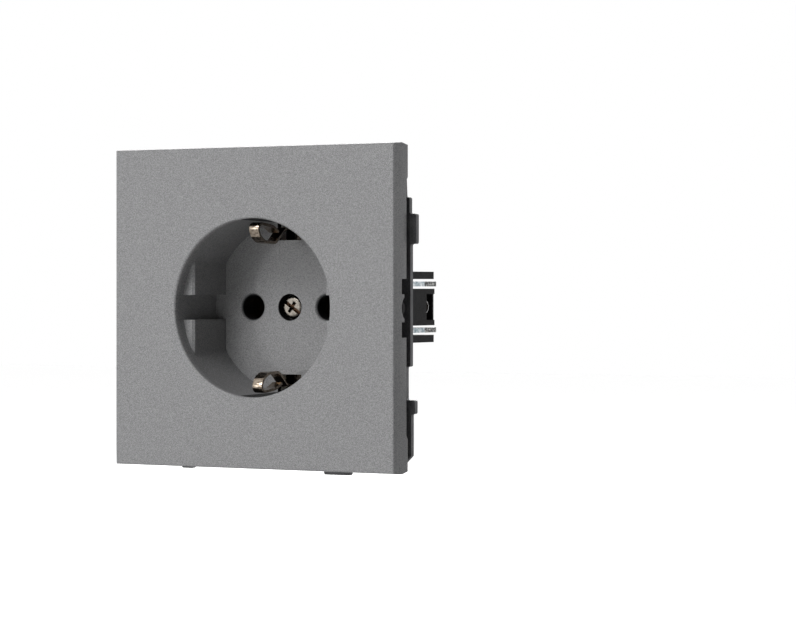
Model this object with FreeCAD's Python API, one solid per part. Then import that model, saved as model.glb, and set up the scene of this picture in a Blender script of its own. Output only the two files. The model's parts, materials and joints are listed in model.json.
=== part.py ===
import FreeCAD, Part
import math
import os

# Flush wall socket with side earth contacts, built as a bench assembly in millimetres.
# X runs to the right and Z up as seen from the room, Y runs into the wall.
# Y = 0 is the wall plane: the rear face of the support plate, with the origin on the pin axis of symmetry.

# Cover plate with its round well
COVER_SIDE = 69.3
COVER_FRONT = 9.2
COVER_FACE = 2.2
COVER_BAND = 3.3
COVER_FLARE = 0.25
COVER_TAPER = 0.4
SKIRT_DEPTH = 6.8
SKIRT_WALL = 1.7
SKIRT_RELIEF = 0.8
RELIEF_HALF = 26.9
COVER_EDGE_ROUND = 0.35
COUPLING_GAP = 12.4
COUPLING_TOOTH = 5.9
COUPLING_TOOTH_DEPTH = 1.5
COUPLING_NOTCH_R = 2.4
COUPLING_NOTCH_BACK = 2.4
WELL_R = 19.3
WELL_DRAFT = 0.3
WELL_DEPTH = 17.0
WELL_WALL = 0.9
WELL_FLOOR = 1.2
WELL_RIM_ROUND = 0.4
PAD_X = 16.4
PAD_LEDGE = 3.3
PAD_CHAMFER = 0.5
PAD_GROOVE = 5.45

# Pins of the plug that goes in, and the holes for them
PIN_SPACING = 19.0
PIN_HOLE_R = 2.65
PIN_HOLE_CHAMFER = 0.55
PIN_BOSS_WALL = 1.35
SCREW_POCKET_R = 2.98
SCREW_BOSS_WALL = 1.2
BOSS_REACH = 2.8

# Cover screw
COVER_SCREW_R = 1.5
COVER_SCREW_HEAD_R = 2.6
COVER_SCREW_HEAD = 1.7
COVER_SCREW_SUNK = 0.9
COVER_SCREW_LENGTH = 8.0
COVER_SCREW_SLOT = 0.8
COVER_SCREW_SLOT_DEPTH = 0.9
CROSS_RECESS_LONG = 2.7
CROSS_RECESS_WIDE = 0.75
CROSS_RECESS_DEPTH = 1.2
DRIVER_ANGLE = 35.0

# Earth slots in the well floor
EARTH_SLOT_INSET = 0.4
EARTH_SLOT_TALL = 4.1
EARTH_SLOT_HALF = 2.9

# Support plate
PLATE_T = 1.2
PLATE_CORNER_MARGIN = 3.2
PLATE_CORNER_CHAMFER = 0.4
PLATE_EDGE_ROUND = 0.4
PLATE_HOLE_CLEARANCE = 0.4
RING_WIDE = 3.4
RING_T = 1.7
BOX_SCREW_SPACING = 60.0
PLATE_LUGS = ((-31.3, -22.4, 4.7), (-22.4, -19.5, 5.6), (-19.5, -12.4, 3.5),
              (-12.4, 13.6, 4.5), (13.6, 20.0, 5.9), (20.0, 23.5, 4.3))
TOP_LUG_MARGIN = 5.0
BOX_SLOT_R = 2.1
BOX_SLOT_LENGTH = 6.4
ARM_T = 1.2
ARM_ROOT = (8.7, 19.0)
ARM_TIP = (10.0, 17.5)
ARM_TAPER_END = 5.5
ARM_END = 8.2

# Contact carrier, the white insulating cup
CARRIER_CLEARANCE = 0.2
CARRIER_WALL = 1.2
CARRIER_FLAT_WALL = 1.1
CARRIER_BULGE = 3.9
CARRIER_FLOOR = 1.0
CARRIER_BOSS_INSET = 0.8
CARRIER_BOSS_REACH = 1.7
CARRIER_SLOT_HALF = 3.2
CARRIER_SIDE_NOTCH_X = 15.2
CARRIER_SIDE_END = 8.8

# Rear housing
FLANGE_FRONT = 5.85
FLANGE_LIP = 0.6
FLANGE_LIP_X = 14.0
FLANGE_REAR = 11.6
FLANGE_WALL = 1.5
FLANGE_CLEARANCE = 0.3
FLANGE_ROUND = 0.8
CHANNEL_HALF = 6.25
GUIDE_T = 1.65
GUIDE_X = 22.0
GUIDE_REAR = 34.5
CHANNEL_WALL_X = 13.4
CHANNEL_WALL = 1.0
BEAM_REAR = 30.0
BLOCK_X = 18.3
UPPER_BLOCK = (16.0, 27.6)
UPPER_STEP = (21.7, 19.1)
UPPER_STEP_X = 10.0
LOWER_BLOCK = (14.6, 27.9)
LOWER_BLOCK_R = 20.3
LOWER_FOOT = (17.0, 27.2)
LOWER_FOOT_X = 12.0
LOWER_STEP = (19.4, 18.0)
LOWER_STEP_ROUND = 0.5
LOWER_ROUND = 1.1
BLOCK_ROUND = 0.6
RECESS_R = 19.4
RECESS_IN_X = 9.3
RECESS_TOP = 19.0
RECESS_SLANT = (21.4, 16.2)
CAVITY_X = (6.5, 12.3)
CAVITY_HALF = 4.7
CAVITY_REAR = 28.6
MID_CAVITY_X = 5.2

# Spreading claws
CLAW_SCREW_X = 19.2
CLAW_SCREW_R = 1.75
CLAW_SCREW_HEAD_R = 3.25
CLAW_SCREW_HEAD = (9.1, 11.2)
CLAW_SCREW_FLANGE = 0.8
CLAW_SCREW_TIP = 33.2
CLAW_SCREW_SLOT_DEPTH = 1.0
CLAW_THREAD_PITCH = 0.6
CLAW_PIVOT = (17.0, 12.0)
CLAW_T = 1.1
CLAW_ARM_Z = 5.15
CLAW_BEND_R = 1.45
CLAW_EDGE_X = 22.3
CLAW_TIP_Y = 35.1
CLAW_ARM_WIDE = 4.6
CLAW_HEEL = 8.0
CLAW_TOOTH = (1.2, 1.6)
CLAW_TOOTH_BACK = 2.6
CLAW_SLOT_R = 1.95
CLAW_SLOT_END = 6.3
CLAW_BEAD_CLEARANCE = 0.08
CLAW_SEAT_HALF = 3.2
CLAW_SEAT = ((15.45, 16.5), (11.35, 12.6, 13.6))

# Wedge block that runs on the claw screw
WEDGE_HALF = 4.1
WEDGE_OUT_X = 22.2
WEDGE_FRONT = 18.3
WEDGE_BEVEL = 0.6
WEDGE_WINDOW_FRONT = 30.6
WEDGE_WINDOW_HALF = 2.9
WEDGE_REAR_WALL = 0.6
WEDGE_END_STEP = 0.5
WEDGE_SEAM = (23.3, 0.2)
WEDGE_SIDE_GAP = 0.3
NUT_SIDE = 4.8
NUT_T = 2.6
NUT_FRONT = 27.4
RUN_CLEARANCE = 0.05
SEAT_GAP = 0.1

# Earth bow, one strip from the top clip to the bottom clip
BOW_T = 0.6
BOW_WIDE = 2.3
BOW_BEND_R = 1.2
CLIP_BEND_R = 4.0
BEND_SHARE = 0.47
CLIP_LEG_INSET = 1.9
CLIP_LINE = ((8.9, 2.7), (6.4, 1.6), (1.6, 1.1), (0.55, 1.55), (0.3, 2.4), (1.2, 4.0), (3.4, 5.05),
             (7.6, 5.2), (9.0, 4.3), (11.9, 2.1))
TOP_CLIP_NOSE = 1.2
BOTTOM_CLIP_NOSE = 2.6
BUSH_R = 3.0
BUSH_SPIGOT_R = 2.1
BUSH_LONG = 3.2
BOW_PAD_R = 4.0
BOW_ROOM = 0.6
END_ROOM = 1.0

# Earth terminal bar and its rivet
EARTH_BAR_HALF = 3.5
EARTH_BAR_T = 0.8
RIVET_R = 1.0
RIVET_HEAD_R = 1.8
RIVET_HEAD = 0.6
RIVET_Z = -7.2

# Live and neutral contacts
CONTACT_T = 0.6
CONTACT_BEND_R = 1.2
CONTACT_WIDE = 4.8
CONTACT_GRIP = 2.45
CONTACT_MOUTH = 3.3
CONTACT_FRONT = 13.6
CONTACT_THROAT = 16.5
CONTACT_REAR = 28.4
CONTACT_FLARE = 7.9
RISER_REAR = 23.5
BUSBAR_WIDE = 11.0

# Screwless terminals: one chamber, spring and release key for each pole
CHAMBER_HALF = 5.7
CHAMBER_FLOOR = 9.0
CHAMBER_TOP = 14.8
CHAMBER_FRONT = 19.8
CHAMBER_REAR = 26.2
ENTRY_OFFSET = 3.9
ENTRY_SIDE = 3.1
ENTRY_FUNNEL = 0.5
ENTRY_LIFT = 12.1
KEY_WIDE = 3.0
KEY_TALL = 3.4
KEY_LIFT = 12.6
KEY_PROUD = 1.6
KEY_TRAVEL = 1.3
KEY_GAP = 0.2
KEY_COLLAR = 0.5
KEY_NOSE_GAP = 0.2
SPRING_T = 0.4
SPRING_BEND_R = 0.8
SPRING_WIDE = 9.6
SPRING_LINE = ((4.8, 0.0), (1.2, 0.0), (0.5, 0.8), (0.7, 1.9), (2.2, 4.5))
SPRING_WINDOW = 2.2


def box(x0, x1, y0, y1, z0, z1):
    """Block between two corners."""
    return Part.makeBox(x1 - x0, y1 - y0, z1 - z0, FreeCAD.Vector(x0, y0, z0))


def rod(radius, y0, y1, x=0.0, z=0.0):
    """Cylinder along Y."""
    return Part.makeCylinder(radius, y1 - y0, FreeCAD.Vector(x, y0, z), FreeCAD.Vector(0, 1, 0))


def taper(radius0, radius1, y0, y1, x=0.0, z=0.0):
    """Cone along Y from one radius to another."""
    return Part.makeCone(radius0, radius1, y1 - y0, FreeCAD.Vector(x, y0, z), FreeCAD.Vector(0, 1, 0))


def prism(corners, direction):
    """Closed outline of 3-D corners swept along a vector."""
    points = [FreeCAD.Vector(*corner) for corner in corners]
    return Part.Face(Part.makePolygon(points + points[:1])).extrude(FreeCAD.Vector(*direction))


def prism_xy(corners, z0, z1):
    return prism([(x, y, z0) for x, y in corners], (0, 0, z1 - z0))


def prism_xz(corners, y0, y1):
    return prism([(x, y0, z) for x, z in corners], (0, y1 - y0, 0))


def prism_yz(corners, x0, x1):
    return prism([(x0, y, z) for y, z in corners], (x1 - x0, 0, 0))


def fuse(first, *others):
    return first.fuse(list(others)).removeSplitter()


def cut(first, *others):
    return first.cut(list(others)).removeSplitter()


def common(first, second):
    return first.common(second)


def mirror_x(shape):
    return shape.mirror(FreeCAD.Vector(0, 0, 0), FreeCAD.Vector(1, 0, 0))


def mirror_z(shape):
    return shape.mirror(FreeCAD.Vector(0, 0, 0), FreeCAD.Vector(0, 0, 1))


def quarter_turn(shape, quarters):
    """Turn about the socket's axis by quarter turns, right side to bottom side first."""
    turned = shape.copy()
    turned.rotate(FreeCAD.Vector(0, 0, 0), FreeCAD.Vector(0, 1, 0), 90.0 * quarters)
    return turned


def round_edges(shape, radius, chosen):
    """Fillet the edges that the test picks by their bounding box."""
    return shape.makeFillet(radius, [edge for edge in shape.Edges if chosen(edge.BoundBox)])


def square_wire(half, y):
    corners = [(-half, y, -half), (half, y, -half), (half, y, half), (-half, y, half)]
    points = [FreeCAD.Vector(*corner) for corner in corners]
    return Part.makePolygon(points + points[:1])


# Levels along Y that several pieces share
FACE_Y = -COVER_FRONT
FLOOR_Y = WELL_DEPTH - COVER_FRONT
FLOOR_BACK = FLOOR_Y + WELL_FLOOR
BOSS_BACK = FLOOR_BACK + BOSS_REACH
SKIRT_REAR = SKIRT_DEPTH - COVER_FRONT
WELL_OUT_R = WELL_R - WELL_DRAFT + WELL_WALL
PLATE_HOLE_R = WELL_R + WELL_WALL + PLATE_HOLE_CLEARANCE
RING_R = PLATE_HOLE_R + RING_WIDE
CARRIER_R = WELL_OUT_R + CARRIER_CLEARANCE + CARRIER_WALL
CARRIER_BOSS_R = WELL_R - CARRIER_BOSS_INSET
FLANGE_R = CARRIER_R + CARRIER_CLEARANCE + ARM_T + FLANGE_CLEARANCE + FLANGE_WALL
EARTH_SLOT_OUT = WELL_R - EARTH_SLOT_INSET
EARTH_SLOT_IN = EARTH_SLOT_OUT - EARTH_SLOT_TALL
CLIP_LEG_Z = WELL_R - CLIP_LEG_INSET
WELL_FLAT_OUT = PAD_X + WELL_WALL
CARRIER_FLAT = WELL_FLAT_OUT + CARRIER_CLEARANCE + CARRIER_FLAT_WALL
GROOVE_OUT = PAD_GROOVE / 2 + WELL_WALL
CARRIER_BACK = FLOOR_BACK + CARRIER_CLEARANCE + CARRIER_FLOOR
CARRIER_BOSS_BACK = CARRIER_BACK + CARRIER_BOSS_REACH
BOW_REST_Y = CARRIER_BOSS_BACK + RUN_CLEARANCE
HALF_PINS = PIN_SPACING / 2


def well_section(radius, flat, groove_half, y0, y1):
    """Round bar with flats left and right that a central rib interrupts."""
    bar = rod(radius, y0, y1)
    reach = 2 * radius
    side = box(flat, reach, y0, y1, groove_half, reach)
    corners = [side, mirror_x(side), mirror_z(side), mirror_x(mirror_z(side))]
    return cut(bar, *corners)


def well_cavity():
    """Space inside the well: a drafted round hole less the four guide pads."""
    hole = taper(WELL_R, WELL_R - WELL_DRAFT, FACE_Y, FLOOR_Y)
    ledge = FACE_Y + PAD_LEDGE
    reach = 2 * WELL_R
    outline = [(PAD_X + PAD_CHAMFER, ledge), (reach, ledge), (reach, FLOOR_Y), (PAD_X, FLOOR_Y),
               (PAD_X, ledge + PAD_CHAMFER)]
    pad = prism_xy(outline, PAD_GROOVE / 2, reach)
    return cut(hole, pad, mirror_x(pad), mirror_z(pad), mirror_x(mirror_z(pad)))


def cover_shell():
    """Square face and skirt: the front band flares, the rear band tapers in."""
    half = COVER_SIDE / 2
    wide = half + COVER_FLARE
    band = square_wire(wide, FACE_Y + COVER_BAND)
    front = Part.makeLoft([square_wire(half, FACE_Y), band], True, True)
    rear = Part.makeLoft([band, square_wire(wide - COVER_TAPER, SKIRT_REAR)], True, True)
    inner = half - SKIRT_WALL
    hollow = box(-inner, inner, FACE_Y + COVER_FACE, SKIRT_REAR, -inner, inner)
    shell = cut(fuse(front, rear), hollow)
    return round_edges(shell, COVER_EDGE_ROUND, lambda b: b.YMax < FACE_Y + COVER_EDGE_ROUND)


def skirt_cutters():
    """What is cut from the right side of the skirt: the relief and the coupling gap."""
    x0 = COVER_SIDE / 2 - SKIRT_WALL - SEAT_GAP
    x1 = COVER_SIDE / 2 + COVER_FLARE + SEAT_GAP
    relieved = SKIRT_REAR - SKIRT_RELIEF
    outline = [(relieved, -RELIEF_HALF), (relieved, RELIEF_HALF), (SKIRT_REAR, RELIEF_HALF + SKIRT_RELIEF),
               (SKIRT_REAR, -RELIEF_HALF - SKIRT_RELIEF)]
    relief = prism_yz(outline, x0, x1)
    band = FACE_Y + COVER_BAND
    gap = box(x0, x1, band, SKIRT_REAR, -COUPLING_GAP / 2, COUPLING_GAP / 2)
    tooth = box(x0, x1, band, band + COUPLING_TOOTH_DEPTH, -COUPLING_TOOTH / 2, COUPLING_TOOTH / 2)
    notch = Part.makeCylinder(COUPLING_NOTCH_R, x1 - x0, FreeCAD.Vector(x0, band + COUPLING_NOTCH_BACK, 0),
                              FreeCAD.Vector(1, 0, 0))
    return fuse(relief, cut(gap, cut(tooth, notch)))


def floor_holes():
    """Pin holes, screw pocket and earth slots through the well floor and its bosses."""
    holes = []
    for side in (-1, 1):
        x = side * HALF_PINS
        holes.append(rod(PIN_HOLE_R, FLOOR_Y, BOSS_BACK, x))
        holes.append(taper(PIN_HOLE_R + PIN_HOLE_CHAMFER, PIN_HOLE_R, FLOOR_Y, FLOOR_Y + PIN_HOLE_CHAMFER, x))
        slot = box(-EARTH_SLOT_HALF, EARTH_SLOT_HALF, FLOOR_Y, FLOOR_BACK, EARTH_SLOT_IN, EARTH_SLOT_OUT)
        holes.append(slot if side > 0 else mirror_z(slot))
    seat = FLOOR_Y + COVER_SCREW_SUNK + COVER_SCREW_HEAD
    holes.append(rod(SCREW_POCKET_R, FLOOR_Y, seat))
    holes.append(rod(COVER_SCREW_R + SEAT_GAP, seat, BOSS_BACK))
    return holes


def make_cover_plate():
    shell = cover_shell()
    front_wall = taper(WELL_OUT_R + WELL_DRAFT, WELL_OUT_R, FACE_Y + COVER_FACE / 2, RING_T)
    rear_wall = well_section(WELL_OUT_R, WELL_FLAT_OUT, GROOVE_OUT, RING_T, FLOOR_BACK)
    bosses = [rod(PIN_HOLE_R + PIN_BOSS_WALL, FLOOR_Y, BOSS_BACK, side * HALF_PINS) for side in (-1, 1)]
    bosses.append(rod(SCREW_POCKET_R + SCREW_BOSS_WALL, FLOOR_Y, BOSS_BACK))
    body = fuse(shell, front_wall, rear_wall, *bosses)
    reliefs = [rod(CLAW_SCREW_HEAD_R + CARRIER_CLEARANCE, CLAW_SCREW_HEAD[0] - CARRIER_CLEARANCE, BOSS_BACK,
                   side * CLAW_SCREW_X) for side in (-1, 1)]
    skirts = [quarter_turn(skirt_cutters(), quarters) for quarters in range(4)]
    cover = cut(body, well_cavity(), *floor_holes(), *reliefs, *skirts)
    rim = lambda b: b.YMax < FACE_Y + SEAT_GAP and abs(b.XMax - WELL_R) < SEAT_GAP
    return round_edges(cover, WELL_RIM_ROUND, rim)


def make_cover_screw():
    """Raised-head screw whose recess takes a blade or a cross driver."""
    head_y = FLOOR_Y + COVER_SCREW_SUNK
    seat = head_y + COVER_SCREW_HEAD
    head = rod(COVER_SCREW_HEAD_R, head_y, seat)
    head = round_edges(head, COVER_SCREW_HEAD / 2, lambda b: b.YMax < head_y + SEAT_GAP)
    shank = rod(COVER_SCREW_R, seat, seat + COVER_SCREW_LENGTH)
    slot = box(-COVER_SCREW_HEAD_R, COVER_SCREW_HEAD_R, head_y, head_y + COVER_SCREW_SLOT_DEPTH,
               -COVER_SCREW_SLOT / 2, COVER_SCREW_SLOT / 2)
    arm = box(-CROSS_RECESS_WIDE / 2, CROSS_RECESS_WIDE / 2, head_y, head_y + CROSS_RECESS_DEPTH,
              -CROSS_RECESS_LONG / 2, CROSS_RECESS_LONG / 2)
    driver = fuse(slot, arm, quarter_turn(arm, 1))
    driver.rotate(FreeCAD.Vector(0, 0, 0), FreeCAD.Vector(0, 1, 0), DRIVER_ANGLE)
    return cut(fuse(head, shank), driver)


def plate_outline():
    """Plate edge: the right side's lugs on all four sides by quarter turns, the top ones cut shorter."""
    slot_x = BOX_SCREW_SPACING / 2
    corner = slot_x + PLATE_CORNER_MARGIN
    side = [(corner, PLATE_CORNER_CHAMFER - corner)]
    for low, high, margin in PLATE_LUGS:
        side += [(slot_x + margin, low), (slot_x + margin, high)]
    side.append((corner, PLATE_LUGS[-1][1]))
    corners = []
    for quarter in range(4):
        turned = side
        for _ in range(quarter):
            turned = [(-z, x) for x, z in turned]
        corners += turned
    return [(x, min(z, slot_x + TOP_LUG_MARGIN)) for x, z in corners]


def box_slot(length, radius, distance):
    """Radial slot for a wall box screw, centred at a distance along X."""
    half = length / 2 - radius
    y0, y1 = -PLATE_T, RING_T
    ends = [rod(radius, y0, y1, distance - half), rod(radius, y0, y1, distance + half)]
    return fuse(box(distance - half, distance + half, y0, y1, -radius, radius), *ends)


def plate_arm():
    """One holding arm: a piece of tube wall that tapers back from the ring."""
    tube = cut(rod(CARRIER_R + CARRIER_CLEARANCE + ARM_T, RING_T, ARM_END),
               rod(CARRIER_R + CARRIER_CLEARANCE, RING_T, ARM_END))
    outline = [(RING_T, ARM_ROOT[0]), (RING_T, ARM_ROOT[1]), (ARM_TAPER_END, ARM_TIP[1]),
               (ARM_END, ARM_TIP[1]), (ARM_END, ARM_TIP[0]), (ARM_TAPER_END, ARM_TIP[0])]
    return common(tube, prism_yz(outline, 0, FLANGE_R))


def make_support_plate():
    plate = prism_xz(plate_outline(), -PLATE_T, 0)
    plate = round_edges(plate, PLATE_EDGE_ROUND,
                        lambda b: b.YLength > PLATE_T - SEAT_GAP and b.ZMax < BOX_SCREW_SPACING / 2
                        and max(b.XLength, b.ZLength) < SEAT_GAP)
    ring = rod(RING_R, 0, RING_T)
    arm = plate_arm()
    arms = [arm, mirror_x(arm), mirror_z(arm), mirror_x(mirror_z(arm))]
    slots = [quarter_turn(box_slot(BOX_SLOT_LENGTH, BOX_SLOT_R, BOX_SCREW_SPACING / 2), q) for q in range(4)]
    body = cut(fuse(plate, ring), rod(PLATE_HOLE_R, -PLATE_T, RING_T), *slots)
    return fuse(body, *arms)


def make_contact_carrier():
    """White cup round the well, with a rib left and right over the well's grooves."""
    inner_r = WELL_OUT_R + CARRIER_CLEARANCE
    inner_flat = WELL_FLAT_OUT + CARRIER_CLEARANCE
    inner_floor = FLOOR_BACK + CARRIER_CLEARANCE
    cup = well_section(CARRIER_R, CARRIER_FLAT, CARRIER_BULGE, RING_T, CARRIER_BACK)
    boss = rod(CARRIER_BOSS_R, CARRIER_BACK - CARRIER_FLOOR, CARRIER_BOSS_BACK)
    hollow = well_section(inner_r, inner_flat, GROOVE_OUT + CARRIER_CLEARANCE, RING_T, inner_floor)
    back = CARRIER_BOSS_BACK
    pin_hole = PIN_HOLE_R + PIN_BOSS_WALL + CARRIER_CLEARANCE
    holes = [rod(pin_hole, inner_floor, back, side * HALF_PINS) for side in (-1, 1)]
    holes.append(rod(SCREW_POCKET_R + SCREW_BOSS_WALL + CARRIER_CLEARANCE, inner_floor, back))
    slot = box(-CARRIER_SLOT_HALF, CARRIER_SLOT_HALF, inner_floor, back, EARTH_SLOT_IN, EARTH_SLOT_OUT)
    notch = box(CARRIER_SIDE_NOTCH_X, FLANGE_R, CARRIER_SIDE_END, back, -CHANNEL_HALF, CHANNEL_HALF)
    return cut(fuse(cup, boss), hollow, *holes, slot, mirror_z(slot), notch, mirror_x(notch))


def block_piece(half, size, radius):
    """Box above the claw guides, out of the flange, with its outer edges and rear corners rounded."""
    height, rear = size
    piece = box(-half, half, FLANGE_REAR - FLANGE_WALL, rear, CHANNEL_HALF, height)
    return round_edges(piece, radius, lambda b: b.ZMin > height - SEAT_GAP and b.YMax > FLANGE_REAR)


def upper_block():
    """Flat-sided block over the live and neutral terminals, taller where it joins the flange."""
    main = block_piece(BLOCK_X, UPPER_BLOCK, BLOCK_ROUND)
    return fuse(main, block_piece(UPPER_STEP_X, UPPER_STEP, BLOCK_ROUND))


def lower_block():
    """Round-sided block over the earth terminal on a narrower foot, taller where it joins the flange."""
    height, rear = LOWER_BLOCK
    front = FLANGE_REAR - FLANGE_WALL
    main = common(box(-BLOCK_X, BLOCK_X, front, rear, CHANNEL_HALF, height), rod(LOWER_BLOCK_R, front, rear))
    foot = block_piece(LOWER_FOOT_X, LOWER_FOOT, LOWER_ROUND)
    step = block_piece(LOWER_FOOT_X, LOWER_STEP, LOWER_STEP_ROUND)
    return mirror_z(fuse(main, foot, step))


def side_recess():
    """Smooth recess in a block's side, down to a flat and a round wall and ended by a slanted plane."""
    low = CHANNEL_HALF + GUIDE_T
    deep, shallow = RECESS_SLANT
    outline = [(FLANGE_REAR, low), (deep, low), (shallow, RECESS_TOP), (FLANGE_REAR, RECESS_TOP)]
    return cut(prism_yz(outline, RECESS_IN_X, FLANGE_R), rod(RECESS_R, FLANGE_REAR, deep))


def housing_body():
    """Outside of the rear housing: flange, terminal blocks, centre beam and claw guides."""
    flange = rod(FLANGE_R, FLANGE_FRONT, FLANGE_REAR)
    flange = round_edges(flange, FLANGE_ROUND, lambda b: b.YMin > FLANGE_REAR - SEAT_GAP)
    lip_z = math.sqrt(FLANGE_R ** 2 - FLANGE_LIP_X ** 2)
    lip = common(rod(FLANGE_R, FLANGE_FRONT - FLANGE_LIP, FLANGE_FRONT),
                 box(-FLANGE_LIP_X, FLANGE_LIP_X, FLANGE_FRONT - FLANGE_LIP, FLANGE_FRONT, lip_z, FLANGE_R))
    top = CHANNEL_HALF + GUIDE_T
    beam = box(-CHANNEL_WALL_X, CHANNEL_WALL_X, FLANGE_REAR, BEAM_REAR, -top, top)
    guide_in = CHANNEL_WALL_X - CHANNEL_WALL
    guide = box(guide_in, GUIDE_X, FLANGE_REAR - FLANGE_WALL, GUIDE_REAR, CHANNEL_HALF, top)
    guides = [guide, mirror_x(guide), mirror_z(guide), mirror_x(mirror_z(guide))]
    body = fuse(flange, lip, mirror_z(lip), upper_block(), lower_block(), beam, *guides)
    recess = side_recess()
    return cut(body, recess, mirror_x(recess), mirror_z(recess), mirror_x(mirror_z(recess)))


def flange_bowl():
    """Space in the flange for the carrier, its floor boss and the plate's arms."""
    bowl = rod(FLANGE_R - FLANGE_WALL, FLANGE_FRONT - FLANGE_LIP, CARRIER_BACK + SEAT_GAP)
    boss = rod(CARRIER_BOSS_R + CARRIER_CLEARANCE, CARRIER_BACK, CARRIER_BOSS_BACK)
    side = box(CHANNEL_WALL_X, 2 * FLANGE_R, FLANGE_FRONT, FLANGE_REAR, -CHANNEL_HALF, CHANNEL_HALF)
    return [bowl, boss, side, mirror_x(side)]


def claw_channels():
    front = FLANGE_REAR - FLANGE_WALL
    channel = box(CHANNEL_WALL_X, 2 * FLANGE_R, front, GUIDE_REAR, -CHANNEL_HALF, CHANNEL_HALF)
    return [channel, mirror_x(channel)]


def contact_cavities():
    """Chambers behind the pin holes, the middle chamber and the slots up to the terminals."""
    pole = box(CAVITY_X[0], CAVITY_X[1], CARRIER_BOSS_BACK, CAVITY_REAR, -CAVITY_HALF, CAVITY_HALF)
    riser_x = CONTACT_WIDE / 2 + CARRIER_CLEARANCE
    riser = box(HALF_PINS - riser_x, HALF_PINS + riser_x, RISER_REAR - CONTACT_T - CARRIER_CLEARANCE,
                RISER_REAR + CARRIER_CLEARANCE, 0, CHAMBER_FLOOR + CARRIER_CLEARANCE)
    screw_end = FLOOR_Y + COVER_SCREW_SUNK + COVER_SCREW_HEAD + COVER_SCREW_LENGTH
    middle = box(-MID_CAVITY_X, MID_CAVITY_X, CARRIER_BOSS_BACK, screw_end + END_ROOM,
                 -CHAMBER_FLOOR, CAVITY_HALF)
    bow_half = CLIP_LEG_Z + BOW_T / 2 + BOW_ROOM
    bow = box(-MID_CAVITY_X, MID_CAVITY_X, CARRIER_BOSS_BACK, BOW_REST_Y + BOW_T + RIVET_HEAD + END_ROOM,
              -bow_half, bow_half)
    return [pole, mirror_x(pole), riser, mirror_x(riser), middle, bow]


def terminal_chamber(x, rear):
    """Chamber, two square wire entries with funnels and the key's guide for one pole."""
    chamber = box(x - CHAMBER_HALF, x + CHAMBER_HALF, CHAMBER_FRONT, CHAMBER_REAR, CHAMBER_FLOOR, CHAMBER_TOP)
    half = ENTRY_SIDE / 2
    cuts = [chamber]
    for side in (-1, 1):
        cx = x + side * ENTRY_OFFSET
        cuts.append(box(cx - half, cx + half, CHAMBER_REAR, rear, ENTRY_LIFT - half, ENTRY_LIFT + half))
        ends = [square_wire(half, rear - ENTRY_FUNNEL), square_wire(half + ENTRY_FUNNEL, rear)]
        mouth = Part.makeLoft(ends, True, True)
        mouth.translate(FreeCAD.Vector(cx, 0, ENTRY_LIFT))
        cuts.append(mouth)
    key_x = KEY_WIDE / 2 + KEY_GAP
    key_z = KEY_TALL / 2 + KEY_GAP
    cuts.append(box(x - key_x, x + key_x, CHAMBER_REAR, rear, KEY_LIFT - key_z, KEY_LIFT + key_z))
    return fuse(*cuts)


def claw_seat():
    """Rib in the claw channel with a round seat for the bead that the claw swings on."""
    (lip_in, lip_out), (front, step, rear) = CLAW_SEAT
    outline = [(CHANNEL_WALL_X, step), (lip_in, step), (lip_in, front), (lip_out, front), (lip_out, rear),
               (CHANNEL_WALL_X, rear)]
    rib = prism_xy(outline, -CLAW_SEAT_HALF, CLAW_SEAT_HALF)
    return cut(rib, claw_bead(CLAW_T / 2 + CLAW_BEAD_CLEARANCE, CLAW_SEAT_HALF))


def claw_bead(radius, half):
    """Round bar on the claw's swing axis."""
    return Part.makeCylinder(radius, 2 * half, FreeCAD.Vector(*CLAW_PIVOT, -half), FreeCAD.Vector(0, 0, 1))


def make_rear_housing():
    chambers = [terminal_chamber(side * HALF_PINS, UPPER_BLOCK[1]) for side in (-1, 1)]
    chambers.append(mirror_z(terminal_chamber(0, LOWER_BLOCK[1])))
    bar_slot = box(-EARTH_BAR_HALF - SEAT_GAP, EARTH_BAR_HALF + SEAT_GAP, CARRIER_BOSS_BACK, CHAMBER_FRONT,
                   -CHAMBER_FLOOR - EARTH_BAR_T - CARRIER_CLEARANCE, -CHAMBER_FLOOR + CARRIER_CLEARANCE)
    body = cut(housing_body(), *flange_bowl(), *claw_channels(), *contact_cavities(), *chambers, bar_slot)
    seat = claw_seat()
    return fuse(body, seat, mirror_x(seat))


def make_claw_screw():
    """Right claw screw: domed head with a flange, slotted, on a plain shank."""
    front, seat = CLAW_SCREW_HEAD
    dome = rod(CLAW_SCREW_HEAD_R - CLAW_SCREW_FLANGE / 2, front, seat - CLAW_SCREW_FLANGE, CLAW_SCREW_X)
    dome = round_edges(dome, CLAW_SCREW_FLANGE, lambda b: b.YMax < front + SEAT_GAP)
    flange = rod(CLAW_SCREW_HEAD_R, seat - CLAW_SCREW_FLANGE, seat, CLAW_SCREW_X)
    shank = rod(CLAW_SCREW_R, seat, CLAW_SCREW_TIP - CLAW_THREAD_PITCH, CLAW_SCREW_X)
    tip = taper(CLAW_SCREW_R, CLAW_SCREW_R - CLAW_THREAD_PITCH, CLAW_SCREW_TIP - CLAW_THREAD_PITCH,
                CLAW_SCREW_TIP, CLAW_SCREW_X)
    slot = box(CLAW_SCREW_X - CLAW_SCREW_HEAD_R, CLAW_SCREW_X + CLAW_SCREW_HEAD_R, front,
               front + CLAW_SCREW_SLOT_DEPTH, -COVER_SCREW_SLOT / 2, COVER_SCREW_SLOT / 2)
    return cut(fuse(dome, flange, shank, tip), slot)


def along_bridge(distance, offset):
    """Point in XY at a distance along the claw's slanted bridge and an offset behind it."""
    cos45 = math.sqrt(0.5)
    x = CLAW_PIVOT[0] + (distance - offset) * cos45
    y = CLAW_PIVOT[1] + (distance + offset) * cos45
    return (x, y)


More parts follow.
